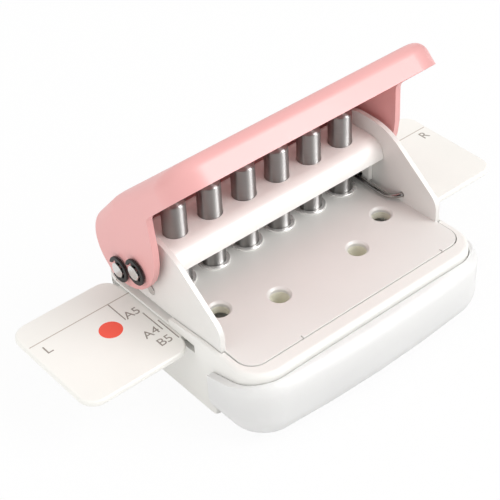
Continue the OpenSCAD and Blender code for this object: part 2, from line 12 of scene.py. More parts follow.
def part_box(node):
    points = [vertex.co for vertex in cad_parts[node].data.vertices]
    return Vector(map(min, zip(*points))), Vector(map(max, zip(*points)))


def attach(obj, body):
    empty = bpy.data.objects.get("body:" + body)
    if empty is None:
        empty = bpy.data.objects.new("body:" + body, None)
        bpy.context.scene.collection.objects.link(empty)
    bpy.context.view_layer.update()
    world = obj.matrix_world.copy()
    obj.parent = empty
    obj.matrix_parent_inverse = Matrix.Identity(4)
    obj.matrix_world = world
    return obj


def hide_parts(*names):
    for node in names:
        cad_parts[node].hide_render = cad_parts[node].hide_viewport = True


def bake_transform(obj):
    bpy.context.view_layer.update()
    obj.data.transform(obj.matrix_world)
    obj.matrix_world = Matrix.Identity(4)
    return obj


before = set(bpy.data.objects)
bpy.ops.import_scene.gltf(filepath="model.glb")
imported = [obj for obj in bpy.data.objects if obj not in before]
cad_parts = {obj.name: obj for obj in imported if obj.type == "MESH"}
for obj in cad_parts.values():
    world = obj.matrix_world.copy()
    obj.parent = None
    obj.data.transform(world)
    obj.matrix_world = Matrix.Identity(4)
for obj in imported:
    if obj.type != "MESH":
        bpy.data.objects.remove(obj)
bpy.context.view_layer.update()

bl_info = {
    "name": "Lever punch",
    "version": (1, 0, 0),
    "blender": (4, 5, 0),
    "location": "View3D > Sidebar > Punch",
    "description": "Dresses the CAD frame of a six-pin lever punch with finished pieces and a studio stage",
    "category": "Object",
}

MM = 0.001
# points closer than this are one point
WELD = 1e-7
PINS = [f"punch_pin_{i}" for i in range(1, 7)]
# the pins' cutting ends stand a little below the deck's top
PIN_SINK = 0.1 * MM
DECK_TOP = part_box("punch_pin_1")[0].z + PIN_SINK
GUIDE_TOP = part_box("left_guide")[1].z
GUIDE_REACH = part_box("right_guide")[1].x
# the right half's sight holes, mirrored to the left
SIGHT_HOLES = ((11.4 * MM, -18.8 * MM), (23.75 * MM, -13.6 * MM))
# radius of the painted shade round the axis of each sight hole
PIT_SHADE_RADIUS = 2.3 * MM
# printed marks lie partly in the guide and rise a little above it
INK_SINK = 0.02 * MM
INK_RISE = 0.016 * MM
# faces of a CAD copy that lean less than this against each other become one
FLAT_LEAN = radians(0.4)
# domed wire end: rings from the tip on, as shares of the wire's radius
DOME_RINGS = np.array([0.0, 0.6, 0.9])
DOME_RISE = 0.4
# masks of noise stay mostly between these two values
NOISE_LOW, NOISE_HIGH = 0.25, 0.75


def length(name, description, default, low, high):
    """Property that holds a length, given in millimetres."""
    return bpy.props.FloatProperty(
        name=name, description=description, default=default * MM, min=low * MM, max=high * MM,
        unit="LENGTH", precision=5)


def colour(name, description, default):
    """Property that holds a colour in scene linear values."""
    return bpy.props.FloatVectorProperty(
        name=name, description=description, default=default, subtype="COLOR", size=3, min=0, max=1)


class PunchSizes(bpy.types.PropertyGroup):
    """Sizes of the finished pieces that a user would change."""
    edge_round: length("Sheet edge", "Rounding of the edges of the painted sheet metal", 0.34, 0.0, 0.5)
    foot_round: length("Base edge", "Rounding of the sharp edges of the moulded base", 0.45, 0.0, 0.9)
    lever_round: length("Lever rim", "Rounding of the cut rim of the lever", 0.35, 0.0, 0.6)
    tray_round: length("Tray rim", "Rounding of the rim of the chip tray", 0.3, 0.0, 0.6)
    pin_chamfer: length("Pin chamfer", "Chamfer at the head of each punch pin", 0.35, 0.2, 1.0)
    collar_width: length("Collar width", "Width of the bright collar round each pin hole", 0.9, 0.5, 1.2)
    wire: length("Spring wire", "Diameter of the wire of the return spring", 1.2, 0.8, 1.3)
    line_width: length("Line width", "Width of the printed lines on the paper guides", 0.26, 0.1, 0.8)
    dot_radius: length("Dot radius", "Radius of the printed dot on the left paper guide", 2.63, 1.0, 3.5)


class PunchColours(bpy.types.PropertyGroup):
    """Colours of the finishes, in scene linear values."""
    lever: colour("Lever", "Powder coat of the lever", (0.80, 0.405, 0.395))
    deck: colour("Deck", "Powder coat of the deck and its ears", (0.80, 0.79, 0.765))
    # the bridge's white is partly its own whiter coat and partly painted light that makes up for the lever's
    # shade over it
    bridge: colour("Bridge", "Powder coat of the pin bridge", (0.96, 0.95, 0.92))
    base: colour("Base", "Moulded plastic of the base", (0.85, 0.84, 0.81))
    # the pits' colour is painted shade: a pale olive that darkens the plastic in the pits below the sight
    # holes
    pit_shade: colour("Pit shade", "Plastic in the pits below the sight holes", (0.86, 0.85, 0.73))
    guide: colour("Guides", "Moulded plastic of the paper guides", (0.88, 0.87, 0.83))
    tray: colour("Tray", "Frosted plastic of the chip tray", (0.955, 0.955, 0.95))
    steel: colour("Steel", "Ground steel of pins, shafts and collars", (0.58, 0.57, 0.56))
    clip: colour("Clips", "Black oxide of the retaining clips", (0.012, 0.012, 0.013))
    ink: colour("Ink", "Grey ink of the lines and letters", (0.30, 0.27, 0.24))
    dot: colour("Dot", "Red ink of the dot", (0.90, 0.10, 0.06))


# meshes

def add_piece(name, mesh, material, body, slot, *nodes):
    """Object of a finished mesh; it may ride on a body and stand for CAD nodes. Its slot is not used."""
    piece = bpy.data.objects.new(name, mesh)
    bpy.context.scene.collection.objects.link(piece)
    mesh.materials.append(material)
    if body:
        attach(piece, body)
    if nodes:
        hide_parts(*nodes)
    return piece


def middle(node):
    """Middle of a CAD node's box."""
    return [(a + b) / 2 for a, b in zip(*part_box(node))]


def welded(points, faces):
    """Points that fall together become one, and quads that lose a corner become triangles."""
    keys, back = np.unique(np.round(points / WELD).astype(np.int64), axis=0, return_inverse=True)
    faces = back.reshape(-1)[faces]
    corners = faces.shape[1]
    same = faces == np.roll(faces, -1, axis=1)
    whole = faces[~same.any(axis=1)].tolist()
    if corners == 4:
        for k in range(4):
            thin = same[:, k] & (same.sum(axis=1) == 1)
            whole += np.delete(faces[thin], k, axis=1).tolist()
    return keys * WELD, whole


def mesh_of(name, points, faces):
    """Smooth mesh from an array of points and an index array of faces."""
    points, faces = welded(points, faces)
    mesh = bpy.data.meshes.new(name)
    mesh.from_pydata(points, [], faces)
    mesh.polygons.foreach_set("use_smooth", np.full(len(mesh.polygons), True))
    mesh.update()
    return mesh


def quads(rows, columns, close_rows=False, close_columns=False):
    """Index array of the quads between neighbouring points of a grid of rows and columns."""
    r = np.arange(rows if close_rows else rows - 1)
    c = np.arange(columns if close_columns else columns - 1)
    r, c = (a.reshape(-1) for a in np.meshgrid(r, c, indexing="ij"))
    r1, c1 = (r + 1) % rows, (c + 1) % columns
    return np.stack([r * columns + c, r * columns + c1, r1 * columns + c1, r1 * columns + c], axis=1)


def turned(name, profile, centre, axis="Z", steps=64, closed=False):
    """Turned surface: a profile of radius r and height h goes round an axis through the centre.

    point(k, t) = centre + r(k) cos t side + r(k) sin t up + h(k) axis, with t from 0 to a full turn.
    """
    r, h = np.asarray(profile, float).T
    t = np.linspace(0, 2 * np.pi, steps, endpoint=False)
    ring = r[:, None] * np.stack([np.cos(t), np.sin(t)])[:, None, :]
    along = np.broadcast_to(h[:, None], ring[0].shape)
    parts = {"Z": (ring[0], ring[1], along), "X": (along, ring[0], ring[1])}[axis]
    points = np.stack(parts, axis=-1).reshape(-1, 3) + np.asarray(centre)
    return mesh_of(name, points, quads(len(r), steps, close_rows=closed, close_columns=True)[:, ::-1])


def round_corner(a, p, b, r, steps=5):
    """Points of a corner p between a and b, bent to a quadratic curve that starts r before the corner."""
    a, p, b = (np.asarray(v, float) for v in (a, p, b))
    start = p + (a - p) / np.linalg.norm(a - p) * r
    end = p + (b - p) / np.linalg.norm(b - p) * r
    t = np.linspace(0, 1, steps)[:, None]
    return (1 - t) ** 2 * start + 2 * t * (1 - t) * p + t ** 2 * end


def softened_profile(corners, r, steps=5):
    """Profile whose inner corners are each bent to a small curve."""
    threes = zip(corners, corners[1:], corners[2:])
    inner = [round_corner(before, corner, after, r, steps) for before, corner, after in threes]
    return np.concatenate([[corners[0]], *inner, [corners[-1]]])


def swept(name, path, radius, sides=14):
    """Round wire along a path: a circle square to the path is carried along it without turning.

    point(i, t) = path(i) + radius (cos t side(i) + sin t up(i)); both ends close to a shallow dome.
    """
    path = np.asarray(path, float)
    way = np.gradient(path, axis=0)
    way /= np.linalg.norm(way, axis=1)[:, None]
    first = np.cross(way[0], (1.0, 0.0, 0.0))

    def carry(side, tangent):
        side = side - side.dot(tangent) * tangent
        return side / np.linalg.norm(side)

    side = np.array(list(accumulate(way[1:], carry, initial=first / np.linalg.norm(first))))
    up = np.cross(way, side)
    t = np.linspace(0, 2 * np.pi, sides, endpoint=False)
    rise = radius * DOME_RISE * (1 - DOME_RINGS[:, None] ** 2)
    path = np.concatenate([path[0] - way[0] * rise, path, path[-1] + way[-1] * rise[::-1]])
    size = np.concatenate([DOME_RINGS, np.ones(len(way)), DOME_RINGS[::-1]]) * radius
    rings = len(DOME_RINGS)
    side, up = (np.concatenate([v[:1]] * rings + [v] + [v[-1:]] * rings) for v in (side, up))
    points = path[:, None] + size[:, None, None] * (
        np.cos(t)[None, :, None] * side[:, None] + np.sin(t)[None, :, None] * up[:, None])
    return mesh_of(name, points.reshape(-1, 3), quads(len(path), sides, close_columns=True))


def smooth_path(points, steps=8):
    """Smooth path through points: between two of them a cubic whose slopes come from their neighbours."""
    p = np.asarray(points, float)
    p = np.concatenate([[2 * p[0] - p[1]], p, [2 * p[-1] - p[-2]]])
    a, b, c, d = (p[k:len(p) - 3 + k, None] for k in range(4))
    t = np.linspace(0, 1, steps, endpoint=False)[None, :, None]
    square, cube = 2 * a - 5 * b + 4 * c - d, 3 * b - a - 3 * c + d
    curve = 0.5 * (2 * b + (c - a) * t + square * t ** 2 + cube * t ** 3)
    return np.concatenate([curve.reshape(-1, 3), p[-2:-1]])


def capsule(a, b, width, steps=8):
    """Outline of a straight stroke from a to b with round ends, counter-clockwise."""
    a, b = np.asarray(a, float), np.asarray(b, float)
    lean = np.arctan2(*(b - a)[::-1])
    t = lean + np.linspace(-np.pi / 2, np.pi / 2, steps)
    arc = width / 2 * np.stack([np.cos(t), np.sin(t)], axis=1)
    return np.concatenate([b + arc, a - arc])


def disc(centre, radius, steps=64):
    """Outline of a round dot, counter-clockwise."""
    t = np.linspace(0, 2 * np.pi, steps, endpoint=False)
    return np.asarray(centre, float) + radius * np.stack([np.cos(t), np.sin(t)], axis=1)


def ink_film(name, outlines, low, high):
    """Closed flat films: each outline is carried from low to high, with a flat face at both ends."""
    points, faces, first = [], [], 0
    for outline in outlines:
        n = len(outline)
        points += [np.column_stack([outline, np.full(n, z)]) for z in (low, high)]
        faces += (quads(2, n, close_columns=True) + first).tolist()
        faces += [list(range(first + n, first + 2 * n)), list(range(first + n - 1, first - 1, -1))]
        first += 2 * n
    mesh = bpy.data.meshes.new(name)
    mesh.from_pydata(np.concatenate(points), [], faces)
    mesh.update()
    return mesh


def merged_copy(node):
    """Mesh of a CAD node with its loose triangles merged and its flat faces joined."""
    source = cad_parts[node].data
    points = np.empty(3 * len(source.vertices))
    source.vertices.foreach_get("co", points)
    corners = np.empty(len(source.loops), dtype=np.int64)
    source.loops.foreach_get("vertex_index", corners)
    mesh = mesh_of(node + "_finished", points.reshape(-1, 3), corners.reshape(-1, 3))
    shape = bmesh.new()
    shape.from_mesh(mesh)
    bmesh.ops.dissolve_limit(shape, angle_limit=FLAT_LEAN, verts=shape.verts, edges=shape.edges)
    shape.to_mesh(mesh)
    shape.free()
    mesh.polygons.foreach_set("use_smooth", np.full(len(mesh.polygons), True))
    return mesh


def dressed_node(node, edge, material, body, slot, limit=32.0, steps=3):
    """Finished copy of a CAD node that stands for it: only edges sharper than the limit are rounded."""
    piece = add_piece(node + "_finished", merged_copy(node), material, body, slot, node)
    bevel = piece.modifiers.new("Edges", "BEVEL")
    bevel.limit_method = "ANGLE"
    bevel.angle_limit = radians(limit)
    bevel.width = edge
    bevel.segments = steps
    bevel.use_clamp_overlap = True
    bevel.harden_normals = False
    level = piece.modifiers.new("Flat faces", "WEIGHTED_NORMAL")
    level.mode = "FACE_AREA"
    level.keep_sharp = False


# finishes

def math_node(tree, operation, *values):
    """Math node of an operation; each value is a socket to link or a number to set."""
    node = tree.nodes.new("ShaderNodeMath")
    node.operation = operation
    for slot, value in zip(node.inputs, values):
        if isinstance(value, bpy.types.NodeSocket):
            tree.links.new(value, slot)
        else:
            slot.default_value = value
    return node.outputs[0]


def socket_group(name, inputs, outputs):
    """Empty shader node group with float inputs and the outputs that a finish needs."""
    group = bpy.data.node_groups.new(name, "ShaderNodeTree")
    for label, value in inputs.items():
        group.interface.new_socket(label, in_out="INPUT", socket_type="NodeSocketFloat").default_value = value
    for label in outputs:
        group.interface.new_socket(label, in_out="OUTPUT", socket_type="NodeSocketFloat")
    return group, group.nodes.new("NodeGroupInput"), group.nodes.new("NodeGroupOutput")


def speckle_group():
    """Grain of coats and mouldings: fine speckle for the height, broad clouds for shade and gloss."""
    group, given, out = socket_group("Speckle", {"Fine": 2600.0, "Broad": 45.0}, ["Height", "Cloud", "Gloss"])
    link = group.links.new
    place = group.nodes.new("ShaderNodeTexCoord")
    fine, broad = (group.nodes.new("ShaderNodeTexNoise") for _ in range(2))
    fine.inputs["Detail"].default_value = 2.0
    broad.inputs["Detail"].default_value = 4.0
    for noise, scale in ((fine, "Fine"), (broad, "Broad")):
        link(place.outputs["Object"], noise.inputs["Vector"])
        link(given.outputs[scale], noise.inputs["Scale"])
    fine_share = 0.35
    gloss = math_node(group, "MULTIPLY_ADD", fine.outputs["Fac"], fine_share, broad.outputs["Fac"])
    link(fine.outputs["Fac"], out.inputs["Height"])
    link(broad.outputs["Fac"], out.inputs["Cloud"])
    link(gloss, out.inputs["Gloss"])
    return group


def grind_group():
    """Grinding marks of steel: noise squeezed along Z into fine lines that lie across it."""
    group, given, out = socket_group("Grinding", {"Along": 120.0, "Across": 5200.0}, ["Height", "Shade"])
    link = group.links.new
    place = group.nodes.new("ShaderNodeTexCoord")
    join = group.nodes.new("ShaderNodeCombineXYZ")
    stretch = group.nodes.new("ShaderNodeVectorMath")
    stretch.operation = "MULTIPLY"
    noise = group.nodes.new("ShaderNodeTexNoise")
    noise.inputs["Scale"].default_value = 1.0
    noise.inputs["Detail"].default_value = 3.0
    for axis, given_name in (("X", "Along"), ("Y", "Along"), ("Z", "Across")):
        link(given.outputs[given_name], join.inputs[axis])
    link(place.outputs["Object"], stretch.inputs[0])
    link(join.outputs["Vector"], stretch.inputs[1])
    link(stretch.outputs["Vector"], noise.inputs["Vector"])
    link(noise.outputs["Fac"], out.inputs["Height"])
    link(noise.outputs["Fac"], out.inputs["Shade"])
    return group


def pit_shade_group():
    """Mask of painted shade: 1 in the four pits below the sight holes and 0 elsewhere, by distance to their
    axes.
    """
    group, given, out = socket_group("Pit shade", {"Radius": PIT_SHADE_RADIUS}, ["Mask"])
    link = group.links.new
    kinds = ("TexCoord", "SeparateXYZ", "CombineXYZ")
    place, split, flat = (group.nodes.new("ShaderNode" + kind) for kind in kinds)
    link(place.outputs["Object"], split.inputs[0])
    link(math_node(group, "ABSOLUTE", split.outputs["X"]), flat.inputs["X"])
    link(split.outputs["Y"], flat.inputs["Y"])
    near = []
    for x, y in SIGHT_HOLES:
        span = group.nodes.new("ShaderNodeVectorMath")
        span.operation = "DISTANCE"
        span.inputs[1].default_value = (x, y, 0)
        link(flat.outputs["Vector"], span.inputs[0])
        near.append(math_node(group, "LESS_THAN", span.outputs["Value"], given.outputs["Radius"]))
    link(math_node(group, "MAXIMUM", *near), out.inputs["Mask"])
    return group


def rim_light_group():
    """Mask of painted light that grows from 0 low on the tray to 1 at its rim, where the tray is painted
    paler as a highlight.
    """
    group, given, out = socket_group("Rim light", {"Low": 10 * MM, "High": 15 * MM}, ["Mask"])
    kinds = ("TexCoord", "SeparateXYZ", "MapRange")
    place, split, grow = (group.nodes.new("ShaderNode" + kind) for kind in kinds)
    group.links.new(place.outputs["Object"], split.inputs[0])
    group.links.new(split.outputs["Z"], grow.inputs["Value"])
    group.links.new(given.outputs["Low"], grow.inputs["From Min"])
    group.links.new(given.outputs["High"], grow.inputs["From Max"])
    group.links.new(grow.outputs["Result"], out.inputs["Mask"])
    return group


GROUPS = {"Speckle": speckle_group, "Grinding": grind_group, "Pit shade": pit_shade_group, "Rim light": rim_light_group}


def effect(tree, name, **values):
    """Node of a shared group in a material, with its inputs set; the group itself is built once."""
    node = tree.nodes.new("ShaderNodeGroup")
    node.node_tree = bpy.data.node_groups.get(name) or GROUPS[name]()
    for label, value in values.items():
        node.inputs[label].default_value = value
    return node.outputs


def shaded(tone, factor, top=1.0):
    """Colour made darker or lighter by a factor, each channel no higher than the top."""
    return np.minimum(np.array(tone) * factor, top)


def two_tones(tree, mask, dark, light, low=0.3, high=0.7):
    """Colour that runs from a dark to a light tone with a mask."""
    ramp = tree.nodes.new("ShaderNodeValToRGB")
    ramp.color_ramp.elements[0].position = low
    ramp.color_ramp.elements[0].color = (*dark, 1)
    ramp.color_ramp.elements[1].position = high
    ramp.color_ramp.elements[1].color = (*light, 1)
    tree.links.new(mask, ramp.inputs["Fac"])
    return ramp.outputs["Color"]


def spread(tree, mask, low, high):
    """Value that runs from low to high with a mask."""
    span = tree.nodes.new("ShaderNodeMapRange")
    span.inputs["From Min"].default_value = NOISE_LOW
    span.inputs["From Max"].default_value = NOISE_HIGH
    span.inputs["To Min"].default_value = low
    span.inputs["To Max"].default_value = high
    tree.links.new(mask, span.inputs["Value"])
    return span.outputs["Result"]


def bump(tree, shader, height, depth, strength):
    """Bump of a given depth into the shader's normal."""
    node = tree.nodes.new("ShaderNodeBump")
    node.inputs["Distance"].default_value = depth
    node.inputs["Strength"].default_value = strength
    tree.links.new(height, node.inputs["Height"])
    tree.links.new(node.outputs["Normal"], shader.inputs["Normal"])


def masked(tree, mask, plain, other):
    """Colour that is plain where the mask is 0 and the other one where it is 1."""
    blend = tree.nodes.new("ShaderNodeMix")
    blend.data_type = "RGBA"
    tree.links.new(mask, blend.inputs["Factor"])
    tree.links.new(plain, blend.inputs["A"])
    blend.inputs["B"].default_value = (*other, 1)
    return blend.outputs["Result"]


def new_finish(name):
    """New material with its node tree and its shader."""
    material = bpy.data.materials.new(name)
    material.use_nodes = True
    return material, material.node_tree, material.node_tree.nodes["Principled BSDF"]


def made_once(maker):
    """Maker of a finish that gives back the material of that name where there is one."""
    @wraps(maker)
    def finish(name, *values, **options):
        return bpy.data.materials.get(name) or maker(name, *values, **options)
    return finish


@made_once
def coat_finish(name, tone, rough, fine=2600.0, vary=0.02, depth=0.02, coat=0.0):
    """Powder coat or moulded plastic: an even colour with faint clouds, fine speckle and uneven gloss."""
    material, tree, shader = new_finish(name)
    grain = effect(tree, "Speckle", Fine=fine)
    tones = two_tones(tree, grain["Cloud"], shaded(tone, 1 - vary), shaded(tone, 1 + vary))
    tree.links.new(tones, shader.inputs["Base Color"])
    tree.links.new(spread(tree, grain["Gloss"], rough - 0.05, rough + 0.07), shader.inputs["Roughness"])
    shader.inputs["Coat Weight"].default_value = coat
    shader.inputs["Coat Roughness"].default_value = 0.25
    bump(tree, shader, grain["Height"], depth * MM, 0.25)
    return material


@made_once
def pit_shaded_finish(name, tone, pit_shade, rough):
    """Moulded plastic of the base, with pale olive painted shade in the pits below the sight holes."""
    material = coat_finish(name, tone, rough)
    tree = material.node_tree
    socket = tree.nodes["Principled BSDF"].inputs["Base Color"]
    plain = socket.links[0].from_socket
    tree.links.new(masked(tree, effect(tree, "Pit shade")["Mask"], plain, pit_shade), socket)
    return material


@made_once
def frost_finish(name, tone):
    """Frosted plastic: light passes and scatters, with a fine uneven frost, painted palest at the rim as a
    highlight.
    """
    # painted highlight: the tray is painted paler towards its rim
    painted_rim_light = (1, 1, 0.99)
    material, tree, shader = new_finish(name)
    grain = effect(tree, "Speckle", Fine=4200.0, Broad=30.0)
    tones = two_tones(tree, grain["Cloud"], shaded(tone, 0.97), shaded(tone, 1.02))
    tree.links.new(masked(tree, effect(tree, "Rim light")["Mask"], tones, painted_rim_light), shader.inputs["Base Color"])
    tree.links.new(spread(tree, grain["Gloss"], 0.34, 0.46), shader.inputs["Roughness"])
    shader.inputs["IOR"].default_value = 1.46
    shader.inputs["Transmission Weight"].default_value = 0.33
    bump(tree, shader, grain["Height"], 0.02 * MM, 0.2)
    return material


@made_once
def steel_finish(name, tone, rough, along=120.0, across=5200.0, vary=0.1, drawn=0.0, metal=1.0):
    """Bare steel with grinding marks that shade the metal and break its gloss."""
    material, tree, shader = new_finish(name)
    marks = effect(tree, "Grinding", Along=along, Across=across)
    tones = two_tones(tree, marks["Shade"], shaded(tone, 1 - vary), shaded(tone, 1 + vary))
    tree.links.new(tones, shader.inputs["Base Color"])
    tree.links.new(spread(tree, marks["Shade"], rough - 0.04, rough + 0.05), shader.inputs["Roughness"])
    shader.inputs["Metallic"].default_value = metal
    shader.inputs["Anisotropic"].default_value = drawn
    shader.inputs["Anisotropic Rotation"].default_value = 0.25
    bump(tree, shader, marks["Height"], 0.004 * MM, 0.3)
    return material


def finishes():
    """Every finish of the punch, from the colours that the user set."""
    c = bpy.context.scene.punch_colours
    paint = {"fine": 3200.0, "depth": 0.012}
    print_ink = {"fine": 5200.0, "depth": 0.004}
    return {
        "lever": coat_finish("pink_coat", c.lever, rough=0.36, coat=0.06, **paint),
        "deck": coat_finish("deck_coat", c.deck, rough=0.34, coat=0.1, **paint),
        "bridge": coat_finish("bridge_coat", c.bridge, rough=0.34, coat=0.1, **paint),
        # the base's pale olive in its pits is painted shade
        "base": pit_shaded_finish("base_moulding", c.base, c.pit_shade, rough=0.42),
        "guide": coat_finish("guide_moulding", c.guide, rough=0.38, depth=0.016),
        # the tray's paler rim is painted light
        "tray": frost_finish("frosted_tray", c.tray),
        # the pins' steel is darker than the shared steel, partly for its duller ground finish and partly as
        # painted shade for the shaded surroundings that the pins reflect under the lever
        "pin": steel_finish(
            "ground_pins", shaded(c.steel, 0.66), rough=0.38, across=14000.0, vary=0.04, drawn=0.97),
        "steel": steel_finish("bright_steel", shaded(c.steel, 1.2), rough=0.2, vary=0.06),
        "collar": steel_finish(
            "bright_collars", shaded(c.steel, 1.66, top=0.96), rough=0.25, vary=0.04, metal=0.6),
        "wire": steel_finish("drawn_wire", shaded(c.steel, 0.75), rough=0.16, along=5200.0),
        "clip": coat_finish("black_oxide", c.clip, rough=0.4, fine=5200.0, vary=0.2, depth=0.008),
        "ink": coat_finish("grey_ink", c.ink, rough=0.5, vary=0.08, **print_ink),
        "pale_ink": coat_finish("pale_ink", shaded(c.ink, 1.7), rough=0.5, vary=0.08, **print_ink),
        "dot": coat_finish("red_ink", c.dot, rough=0.42, vary=0.05, **print_ink),
    }


# operators

# edges of the small CAD copies are rounded by these radii
STOP_EDGE = 0.08 * MM
DIE_EDGE = 0.06 * MM
FASTENER_EDGE = 0.12 * MM
GUIDE_EDGE = 0.1 * MM
# lever, guides and tray have round stretches, so only edges sharper than this, in degrees, are rounded
ROUND_LIMIT = 40.0


class PUNCH_OT_base(bpy.types.Operator):
    """Moulded base, the strip that stops the paper, and the die plate under the deck"""
    bl_idname = "punch.base"
    bl_label = "Base"

    def execute(self, context):
        size, look = context.scene.punch_sizes, finishes()
        dressed_node("base_shell", size.foot_round, look["base"], "base", "base_white")
        dressed_node("paper_stop", STOP_EDGE, look["base"], "base", "base_white")
        dressed_node("die_plate", DIE_EDGE, look["steel"], "base", "bare_steel")
        return {"FINISHED"}


class PUNCH_OT_deck(bpy.types.Operator):
    """Deck with its ears, the bridge over the pins, the screws and the rivets"""
    bl_idname = "punch.deck"
    bl_label = "Deck and bridge"

    def execute(self, context):
        size, look = context.scene.punch_sizes, finishes()
        dressed_node("frame_plate", size.edge_round, look["deck"], "base", "frame_white")
        dressed_node("pin_bridge", size.edge_round, look["bridge"], "base", "bridge_white")
        dressed_node("frame_screws", FASTENER_EDGE, look["steel"], "base", "bare_steel")
        dressed_node("bridge_rivets", FASTENER_EDGE, look["steel"], "base", "bare_steel")
        return {"FINISHED"}


class PUNCH_OT_collars(bpy.types.Operator):
    """Bright collars pressed into the deck round the pins"""
    bl_idname = "punch.collars"
    bl_label = "Collars"

    def execute(self, context):
        size, look = context.scene.punch_sizes, finishes()
        inner, rise, sink, rounding = 2.82 * MM, 0.43 * MM, 0.2 * MM, 0.2 * MM
        outer = inner + size.collar_width
        ring = [(inner, -sink), (inner, rise), (outer, rise), (outer, -sink)]
        profile = softened_profile(ring, rounding)
        for k, node in enumerate(PINS, 1):
            name = f"collar_{k}"
            mesh = turned(name, profile, (*middle(node)[:2], DECK_TOP), closed=True)
            add_piece(name, mesh, look["collar"], "base", "bare_steel")
        return {"FINISHED"}


class PUNCH_OT_pins(bpy.types.Operator):
    """Six ground steel pins with a chamfered head and a hollow cutting end"""
    bl_idname = "punch.pins"
    bl_label = "Punch pins"

    def execute(self, context):
        size, look = context.scene.punch_sizes, finishes()
        hollow, rim, rounding = 0.5 * MM, 0.7 * MM, 0.12 * MM
        dimple_r, dimple_depth = 0.9 * MM, 0.12 * MM
        chamfer = size.pin_chamfer
        for node in PINS:
            low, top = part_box(node)
            r, end, head = (top.x - low.x) / 2, low.z, top.z
            corners = [(0, end + hollow), (r - rim, end), (r, end), (r, head - chamfer), (r - chamfer, head),
                       (dimple_r, head), (0, head - dimple_depth)]
            profile = softened_profile(corners, rounding)
            mesh = turned(node + "_finished", profile, (*middle(node)[:2], 0))
            add_piece(node + "_finished", mesh, look["pin"], "punch_gang", "pin_steel", node)
        return {"FINISHED"}


class PUNCH_OT_shafts(bpy.types.Operator):
    """Lever and drive shafts with grooves near their ends, and the clips in the grooves"""
    bl_idname = "punch.shafts"
    bl_label = "Shafts and clips"

    def execute(self, context):
        look = finishes()
        play, groove, depth, rounding = 0.05 * MM, 0.7 * MM, 0.35 * MM, 0.16 * MM
        for name, body in (("pivot", "base"), ("drive", "punch_gang")):
            shaft, clips = name + "_shaft", name + "_clips"
            low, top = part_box(shaft)
            r, end = (top.z - low.z) / 2, top.x
            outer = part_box(clips)[1].x + play
            inner = outer - groove
            half = [(0, end), (r, end), (r, outer), (r - depth, outer), (r - depth, inner), (r, inner)]
            corners = [(a, -h) for a, h in half] + half[::-1]
            profile = softened_profile(corners, rounding, steps=4)
            mesh = turned(shaft + "_finished", profile, (0, *middle(shaft)[1:]), axis="X")
            add_piece(shaft + "_finished", mesh, look["steel"], body, "bare_steel", shaft)
            dressed_node(clips, FASTENER_EDGE, look["clip"], body, "black_clip")
        return {"FINISHED"}


class PUNCH_OT_spring(bpy.types.Operator):
    """Wire spring that lifts the lever: a leg under the drive shaft, four turns and a leg along the ear"""
    bl_idname = "punch.spring"
    bl_label = "Return spring"

    def execute(self, context):
        size, look = context.scene.punch_sizes, finishes()
        # in millimetres, with heights from the deck's top; the leg's lean is in degrees
        pivot_y, pivot_z = 7.0, 4.6
        coil_start, coil_end, coil_r, turns, coil_points = 19.0, 28.65, 2.9, 4, 120
        lean, past_row, leg_points = 14.0, 2.6, 16
        turn = np.radians(np.linspace(90 + lean, -90 - 360 * turns, coil_points))
        coil = np.stack([np.linspace(coil_start, coil_end, coil_points),
                         pivot_y + coil_r * np.cos(turn), pivot_z + coil_r * np.sin(turn)], axis=1)
        lead = coil[0]
        far = lead - (lead[1] + past_row) * np.array([0, 1, np.tan(np.radians(lean))])
        # along the deck to the front, then aside into the hole in the ear
        ear_leg = [(coil_end, 2, 1.5), (coil_end, -5, 1.05), (coil_end, -9, 0.95), (28.85, -10.6, 1.05),
                   (29.35, -12, 1.35), (30.05, -13, 1.7), (30.7, -13.3, 1.8), (31.6, -13.3, 1.8)]
        path = np.concatenate([coil, smooth_path([coil[-1], *ear_leg])[1:]]) * MM
        lift = np.linspace(far, lead, leg_points) * MM
        for line in (path, lift):
            line[:, 2] += DECK_TOP
        mesh = swept("return_spring_finished", path, size.wire / 2)
        add_piece("return_spring_finished", mesh, look["wire"], "base", "spring_wire", "return_spring")
        # the lifting leg lies under the drive shaft that it carries; it rides on no body
        leg = add_piece("spring_lifting_leg", swept("spring_lifting_leg", lift, size.wire / 2),
                        look["wire"], None, "spring_wire")
        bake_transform(leg)
        return {"FINISHED"}


class PUNCH_OT_lever(bpy.types.Operator):
    """Pink lever: a bent shell with a front skirt and two arms"""
    bl_idname = "punch.lever"
    bl_label = "Lever"

    def execute(self, context):
        size, look = context.scene.punch_sizes, finishes()
        dressed_node("lever_shell", size.lever_round, look["lever"], "lever", "lever_pink", limit=ROUND_LIMIT)
        return {"FINISHED"}


# printed marks, in millimetres: x, start and end of each tick for a sheet size, in the order A5, A4 and B5
SIZE_TICKS = ((-38.5, 0.5, 6.9), (-34.5, -7.3, -0.4), (-33.5, -11.7, -4.5))
# text, height, left end and foot of the letters, and the guide that they are on
LETTERS = (("L", 3.6, -57.0, 3.0, "left"), ("A5", 3.3, -38.2, 0.2, "left"), ("A4", 3.3, -38.9, -7.6, "left"),
           ("B5", 3.3, -38.0, -11.5, "left"), ("R", 3.6, 55.2, 3.4, "right"))


